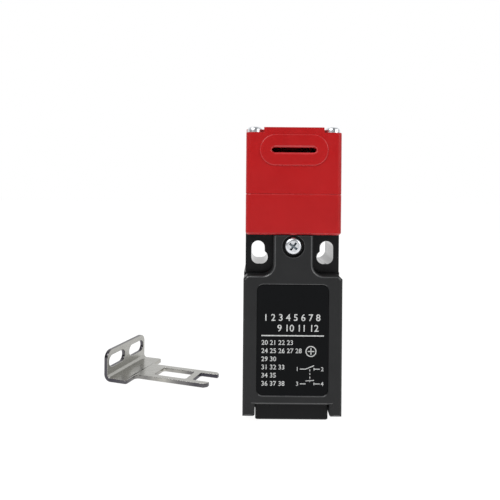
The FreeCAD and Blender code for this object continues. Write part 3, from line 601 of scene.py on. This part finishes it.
def pan_screw(name, head_radius, head_height, shank_radius, shank_length, thread_pitch=0.0005):
    """A pan-head screw along Z, its seat at the origin and its shank below, threaded to the tip."""
    bpy.ops.object.select_all(action="DESELECT")
    bpy.ops.mesh.primitive_cylinder_add(vertices=48, radius=head_radius, depth=head_height,
                                        location=(0, 0, head_height / 2))
    head = bpy.context.object
    bpy.ops.object.transform_apply(location=True)
    bpy.ops.object.mode_set(mode="EDIT")
    bpy.ops.mesh.select_all(action="DESELECT")
    bpy.ops.object.mode_set(mode="OBJECT")
    for edge in head.data.edges:
        edge.select = all(head.data.vertices[end].co.z > head_height * head_rim
                          for end in edge.vertices)
    bpy.ops.object.mode_set(mode="EDIT")
    bpy.ops.mesh.select_mode(type="EDGE")
    bpy.ops.mesh.bevel(offset=head_height * dome, segments=6, profile=0.5)
    bpy.ops.object.mode_set(mode="OBJECT")
    arms = []
    for turn in (0.0, math.pi / 2):
        bpy.ops.object.select_all(action="DESELECT")
        bpy.ops.mesh.primitive_cube_add(size=1, location=(0, 0, head_height))
        arm = bpy.context.object
        arm.scale = (head_radius * recess_reach * 2, head_radius * recess_width,
                     head_height * recess_depth * 2)
        arm.rotation_euler.z = turn
        bpy.ops.object.transform_apply(location=True, rotation=True, scale=True)
        for corner in arm.data.vertices:
            if corner.co.z < head_height:
                corner.co.x *= recess_taper
                corner.co.y *= recess_taper
        arms.append(arm)
    for arm in arms:
        only(head)
        bpy.ops.object.modifier_add(type="BOOLEAN")
        head.modifiers[-1].object = arm
        head.modifiers[-1].operation = "DIFFERENCE"
        head.modifiers[-1].solver = "EXACT"
        bpy.ops.object.modifier_apply(modifier=head.modifiers[-1].name)
        bpy.data.objects.remove(arm)
    bpy.ops.object.select_all(action="DESELECT")
    bpy.ops.mesh.primitive_cylinder_add(vertices=24, radius=shank_radius * core, depth=shank_length,
                                        location=(0, 0, -shank_length / 2))
    shank = bpy.context.object
    bpy.ops.object.transform_apply(location=True)
    bpy.ops.object.select_all(action="DESELECT")
    ridge_radius = thread_pitch * ridge_size
    ridge_place = (shank_radius - ridge_radius, 0, thread_pitch - shank_length)
    bpy.ops.mesh.primitive_circle_add(vertices=3, radius=ridge_radius, fill_type="NOTHING",
                                      location=ridge_place, rotation=(math.pi / 2, math.pi / 2, 0))
    ridge = bpy.context.object
    bpy.ops.object.transform_apply(location=True, rotation=True)
    bpy.ops.object.modifier_add(type="SCREW")
    helix = ridge.modifiers[-1]
    helix.steps = 16
    helix.render_steps = 16
    helix.iterations = int(min(shank_length * threaded_share, longest_thread) / thread_pitch)
    helix.screw_offset = thread_pitch
    helix.use_merge_vertices = True
    bpy.ops.object.modifier_apply(modifier=helix.name)
    bpy.ops.object.mode_set(mode="EDIT")
    bpy.ops.mesh.select_all(action="SELECT")
    bpy.ops.mesh.fill_holes(sides=4)
    bpy.ops.mesh.normals_make_consistent(inside=False)
    bpy.ops.object.mode_set(mode="OBJECT")
    bpy.ops.object.select_all(action="DESELECT")
    for part in (ridge, shank, head):
        part.select_set(True)
    bpy.context.view_layer.objects.active = head
    bpy.ops.object.join()
    head.name = name
    finish_mesh(head, 40)
    # The recess faces get the painted shade.
    wear(head, zinc, recess_shade_zinc, in_recess(head_radius, head_height))
    return head


def set_screw(screw, place, turn):
    """Turns a screw modelled along Z and carries it to its seat."""
    only(screw)
    screw.rotation_euler = turn
    screw.location = place
    bpy.ops.object.transform_apply(location=True, rotation=True)


screw_low, screw_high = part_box("cover_screw")
head_overhang = 0.00015
screw_head_radius = (screw_high.x - screw_low.x) / 2 + head_overhang
screw_head_height = 0.0019
shank_radius = 0.0015
recess_turn = math.radians(38)
screw_middle = (screw_low + screw_high) / 2
cover_screw = pan_screw("cover_screw_dressed", screw_head_radius, screw_head_height, shank_radius,
                        screw_high.y - screw_low.y - screw_head_height)
set_screw(cover_screw, (screw_middle.x, screw_low.y + screw_head_height, screw_middle.z),
          (math.radians(90), recess_turn, 0))
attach(cover_screw, "cover")
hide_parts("cover_screw")
for name in ("head_floor_screws", "terminal_screws", "clamp_plates"):
    wear(frame["nodes"][name], zinc)

# ------------------------------------------------------------------ red key head
# Foot and cap of the head, moulded in signal-red plastic. The cap has the key's two entries, one on top
# and one in a raised oval on the front, with lips that close in on the tongue. The four long screws stand
# on its sunk corners.
red_plastic = plastic("red_plastic", (0.415, 0.0068, 0.0080), (0.455, 0.0084, 0.0098),
                      (0.32, 0.42), (4200.0, 0.000014), 0.24)
# Painted highlight: the small rounds at the parting, along the foot's bottom edge and on the front oval
# get this paler, glossier red.
painted_highlight_red = plastic("painted_highlight_red", (0.47, 0.020, 0.023), (0.56, 0.036, 0.040),
                     (0.24, 0.34), (4200.0, 0.000008), 0.5)
foot_low, foot_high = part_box("head_lower")
cap_low, cap_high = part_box("head_upper")
head_break = 0.00014
parting_round = 0.0003
bottom_round = 0.0006
collar_round = 0.00025
collar_skin = 0.00034
foot_wall = 0.0016
parting_lean = (0.15, 0.98)
bottom_lean = (-0.95, -0.2)
side_lean = 0.2
entry_level = cap_high.z - 0.0071
entry_room = 0.003
entry_share = 0.27


def foot_rim(corner):
    """The foot's outline at the parting with the cap."""
    level = abs(corner.z - cap_low.z) < touching
    outside = abs(corner.x) > foot_high.x - foot_wall or corner.y < foot_low.y + foot_wall
    return level and (outside or corner.y > foot_high.y - foot_wall)


def collar_rim(corner):
    """The raised oval's outline, but not the key's entry in it."""
    across = abs(corner.x) > (cap_high.x - cap_low.x) * entry_share
    return corner.y < cap_low.y + touching and (across or abs(corner.z - entry_level) > entry_room)


def painted_highlight_foot(face):
    """The rounds below the parting and along the foot's bottom edge, which get the painted highlight."""
    lean = face.normal.z
    parting = abs(face.center.z - cap_low.z) < parting_round and parting_lean[0] < lean < parting_lean[1]
    bottom = face.center.z < foot_low.z + bottom_round and bottom_lean[0] < lean < bottom_lean[1]
    return (parting or bottom) and abs(face.normal.x) + abs(face.normal.y) > side_lean


def painted_highlight_cap(face):
    """The rounds of the raised oval and of the key's entry in it, which get the painted highlight."""
    return face.center.y < cap_low.y + collar_skin and least_lean < abs(face.normal.y) < most_lean


head_foot = broken_edges("head_lower", "head_foot", head_break, wide=parting_round, picked=foot_rim)
wear(head_foot, red_plastic, painted_highlight_red, painted_highlight_foot)
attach(head_foot, "switch_body")

lip_height = 0.00125
lip_width = 0.0078
lip_depth = 0.004
lip_share = 0.78


def entry_lips(corner):
    """The edges of the front entry, from the raised oval to the inside of the wall."""
    beside = abs(corner.z - entry_level) < lip_height and abs(corner.x) < lip_width
    return beside and corner.y < cap_low.y + lip_depth


head_cap = broken_edges("head_upper", "head_cap", head_break, wide=collar_round, picked=collar_rim)
open_corners(head_cap, entry_lips)
bpy.ops.transform.resize(value=(1, 1, lip_share), center_override=(0, 0, entry_level))
bpy.ops.object.mode_set(mode="OBJECT")
finish_mesh(head_cap)
wear(head_cap, red_plastic, painted_highlight_red, painted_highlight_cap)
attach(head_cap, "switch_body")

# ------------------------------------------------------------------ head corner screws
# Four long zinc-plated screws, modelled once and copied, that clamp the cap and the foot together. Each
# stands on its own sunk corner.
corner_low, corner_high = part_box("head_corner_screws")
corner_head_radius = 0.0024
corner_seat = corner_high.z - screw_head_height
first_turn = 25
next_turn = 31
corner_places = [(across, back)
                 for back in (corner_low.y + corner_head_radius, corner_high.y - corner_head_radius)
                 for across in (corner_low.x + corner_head_radius, corner_high.x - corner_head_radius)]
first_screw = pan_screw("head_corner_screw_1", corner_head_radius, screw_head_height, shank_radius,
                        corner_seat - corner_low.z)
corner_screws = [first_screw]
for index in range(2, 5):
    screw = bpy.data.objects.new(f"head_corner_screw_{index}", first_screw.data.copy())
    bpy.context.scene.collection.objects.link(screw)
    corner_screws.append(screw)
for index, (screw, (across, back)) in enumerate(zip(corner_screws, corner_places)):
    turn = math.radians(first_turn + next_turn * index)
    set_screw(screw, (across, back, corner_seat), (0, 0, turn))
    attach(screw, "switch_body")
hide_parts("head_corner_screws")

# ------------------------------------------------------------------ key
# The forked tongue is blanked and bent from stainless sheet and tumbled, so its faces are satin with a
# faint grain along the tongue. Its cut edges are rounded and streaked; towards the prongs they carry a
# painted dark reflection, and towards the plate painted shade under the wide part.
key_turn = math.radians(18.3)
key_steel = metal("key_steel", (0.37, 0.367, 0.345), (0.44, 0.436, 0.412), (0.22, 0.34),
                  (2600.0, 0.000008), (0.12, 1.0, 1.0), key_turn)
sheared_steel = metal("sheared_steel", (0.10, 0.095, 0.11), (0.56, 0.55, 0.50), (0.18, 0.30),
                      (75.0, 0.00001), (1.0, 1.0, 0.4), key_turn)
# The colour of the painted dark reflection and painted shade on the cut edges.
painted_dark_steel = (0.035, 0.032, 0.05)
steel_tree = sheared_steel.node_tree
steel_place = steel_tree.nodes.new("ShaderNodeSeparateXYZ")
steel_tree.links.new(steel_tree.nodes.new("ShaderNodeTexCoord").outputs["Object"], steel_place.inputs[0])
key_low, key_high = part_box("tongue_key")
steel_across = steel_place.outputs["X"]
# Painted dark reflection: the cut edges darken towards the prongs' tips.
tip_reach = (0.020, 0.008)
tip_darkness = 0.85
painted_tip_reflection = spread(steel_tree, steel_across, key_high.x - tip_reach[0], key_high.x - tip_reach[1],
                     0.0, tip_darkness)
# Painted shade: the cut edges darken towards the plate, under the wide part.
plate_reach = (0.009, 0.016)
plate_darkness = 0.75
painted_plate_shade = spread(steel_tree, steel_across, key_low.x + plate_reach[0], key_low.x + plate_reach[1],
                       plate_darkness, 0.0)
steel_colour = steel_tree.nodes["Principled BSDF"].inputs["Base Color"]
tips_painted_dark = tint(steel_tree, painted_tip_reflection, steel_colour.links[0].from_socket, painted_dark_steel)
steel_tree.links.new(tint(steel_tree, painted_plate_shade, tips_painted_dark, painted_dark_steel), steel_colour)
key_along = Vector((math.cos(key_turn), -math.sin(key_turn), 0))
tongue_top = 0.0016
cut_lean = 0.35


def sheared(face):
    """Whether a face of the key is a cut edge: upright on the tongue, or across on the plate."""
    off_sheet = abs(face.normal.z) if face.center.z < tongue_top else abs(face.normal.dot(key_along))
    return off_sheet < cut_lean


tumbled_round = 0.00022
key = broken_edges("tongue_key", "key_blade", tumbled_round, 3)
wear(key, key_steel, sheared_steel, sheared)
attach(key, "key")

# ------------------------------------------------------------------ parts inside
# The works in the head and the contact block in the housing, seen only with the cover off or through the
# key's entries: a red cam, plunger, slides and carrier of natural nylon, a dark block, steel axle and
# springs, brass strips, pale contact bridges and rubber seals.
cam_plastic = plastic("cam_plastic", (0.36, 0.022, 0.018), (0.44, 0.03, 0.026), (0.32, 0.42),
                      (3800.0, 0.00001))
nylon = plastic("natural_nylon", (0.66, 0.62, 0.52), (0.72, 0.69, 0.60), (0.32, 0.42), (3800.0, 0.00001))
block_plastic = plastic("block_plastic", (0.045, 0.042, 0.04), (0.06, 0.056, 0.052), (0.4, 0.5),
                        (3600.0, 0.000014))
rubber = plastic("seal_rubber", (0.012, 0.012, 0.012), (0.02, 0.02, 0.02), (0.62, 0.75),
                 (2600.0, 0.00002), 0.3)
brass = metal("brass", (0.55, 0.38, 0.13), (0.68, 0.5, 0.2), (0.25, 0.38), (1200.0, 0.00001))
silver = metal("contact_metal", (0.7, 0.66, 0.58), (0.85, 0.82, 0.76), (0.22, 0.34), (1100.0, 0.00001))
spring_steel = metal("spring_steel", (0.42, 0.43, 0.45), (0.58, 0.59, 0.61), (0.2, 0.3),
                     (1600.0, 0.000008))
inside = {
    cam_plastic: ("cam_wheel",),
    nylon: ("plunger", "contact_carrier", "lock_slide_left", "lock_slide_right"),
    block_plastic: ("contact_base",),
    rubber: ("cover_gasket", "head_seal", "plunger_wiper"),
    brass: ("cover_insert", "nc_terminal_left", "nc_terminal_right", "no_terminal_left",
            "no_terminal_right"),
    silver: ("nc_bridge", "no_bridge"),
    spring_steel: ("cam_axle", "return_spring", "nc_contact_spring", "no_contact_spring"),
}
for material, names in inside.items():
    for name in names:
        wear(frame["nodes"][name], material)

# ------------------------------------------------------------------ lock springs
# The two small coil springs that push the lock slides inwards. Each is held in the head wall at its outer
# end.
for side, inward in (("left", 1), ("right", -1)):
    packed_coil = frame["nodes"][f"lock_spring_{side}"]
    coil = bpy.data.objects.new(f"lock_coil_{side}", packed_coil.data.copy())
    bpy.context.scene.collection.objects.link(coil)
    wear(coil, spring_steel)
    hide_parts(f"lock_spring_{side}")
    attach(coil, "switch_body")
    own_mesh(coil)

# ------------------------------------------------------------------ table, light and camera
# A white table and a white room, dimmer in front, so that the black plastic stays dark. One soft lamp
# stands above the front left and a weaker one on the right. The camera is close in front, a little above
# the middle of the switch.
table_size = 12.0
table_shade = 0.9
table_glow = 1.12
glow_share = 0.85
bpy.ops.object.select_all(action="DESELECT")
bpy.ops.mesh.primitive_plane_add(size=table_size, location=(0, 0, 0))
table_top = bpy.context.object
table_top.name = "table_top"
table_paint, table_shader = shader_of("table_paint")
table_tree = table_paint.node_tree
table_shader.inputs["Base Color"].default_value = (table_shade, table_shade, table_shade, 1)
table_shader.inputs["Roughness"].default_value = 0.9
glow = table_tree.nodes.new("ShaderNodeEmission")
glow.inputs["Color"].default_value = (1, 1, 1, 1)
glow.inputs["Strength"].default_value = table_glow


def reckoned(tree, operation, first, second):
    """A math node on two sockets, or on a socket and a number."""
    reckoning = tree.nodes.new("ShaderNodeMath")
    reckoning.operation = operation
    tree.links.new(first, reckoning.inputs[0])
    if isinstance(second, float):
        reckoning.inputs[1].default_value = second
    else:
        tree.links.new(second, reckoning.inputs[1])
    return reckoning.outputs[0]


seen = table_tree.nodes.new("ShaderNodeLightPath").outputs
seen_any = reckoned(table_tree, "MAXIMUM", seen["Is Camera Ray"], seen["Is Glossy Ray"])
seen_all = reckoned(table_tree, "MAXIMUM", seen_any, seen["Is Transmission Ray"])
blend = table_tree.nodes.new("ShaderNodeMixShader")
table_tree.links.new(reckoned(table_tree, "MULTIPLY", seen_all, glow_share), blend.inputs[0])
table_tree.links.new(table_shader.outputs[0], blend.inputs[1])
table_tree.links.new(glow.outputs[0], blend.inputs[2])
table_tree.links.new(blend.outputs[0], table_tree.nodes["Material Output"].inputs["Surface"])
table_top.data.materials.append(table_paint)

world = bpy.data.worlds.new("white_room")
bpy.context.scene.world = world
world.use_nodes = True
sky = world.node_tree
room = sky.nodes["Background"]
room.inputs["Color"].default_value = (1, 1, 1, 1)
way = sky.nodes.new("ShaderNodeSeparateXYZ")
sky.links.new(sky.nodes.new("ShaderNodeTexCoord").outputs["Generated"], way.inputs[0])
front_level = 0.10
dim_up_to = -0.3
white_from = 0.45
behind = spread(sky, way.outputs["Y"], dim_up_to, white_from, front_level, 1.0)
room_seen = sky.nodes.new("ShaderNodeLightPath").outputs["Is Camera Ray"]
sky.links.new(reckoned(sky, "MAXIMUM", behind, room_seen), room.inputs["Strength"])


def soft_lamp(name, place, aim, size, watts):
    """A square area lamp at a place, turned to a point."""
    lamp = bpy.data.lights.new(name, "AREA")
    lamp.size = size
    lamp.energy = watts
    holder = bpy.data.objects.new(name, lamp)
    bpy.context.scene.collection.objects.link(holder)
    holder.location = place
    holder.rotation_euler = (Vector(aim) - Vector(place)).to_track_quat("-Z", "Y").to_euler()
    return holder


middle = (0, 0, cad_high.z / 2)
soft_lamp("key_lamp", (-0.30, -0.40, 0.55), middle, 0.35, 3.0)
soft_lamp("fill_lamp", (0.5, -0.36, 0.32), middle, 0.4, 1.5)

camera_data = bpy.data.cameras.new("camera")
camera_data.lens = 35.0
camera_data.sensor_width = 36.0
camera_data.shift_x = -0.017
camera_data.shift_y = -0.105
camera_distance = 0.1513
camera_height = 0.0706
camera_aside = -0.0110
camera_lean = math.radians(-0.48)
cover_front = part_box("front_cover")[0].y
camera = bpy.data.objects.new("camera", camera_data)
bpy.context.scene.collection.objects.link(camera)
camera.location = (camera_aside, cover_front - camera_distance, camera_height)
camera.rotation_euler = (math.radians(90), camera_lean, 0)
bpy.context.scene.camera = camera
bpy.context.scene.view_settings.view_transform = "Standard"
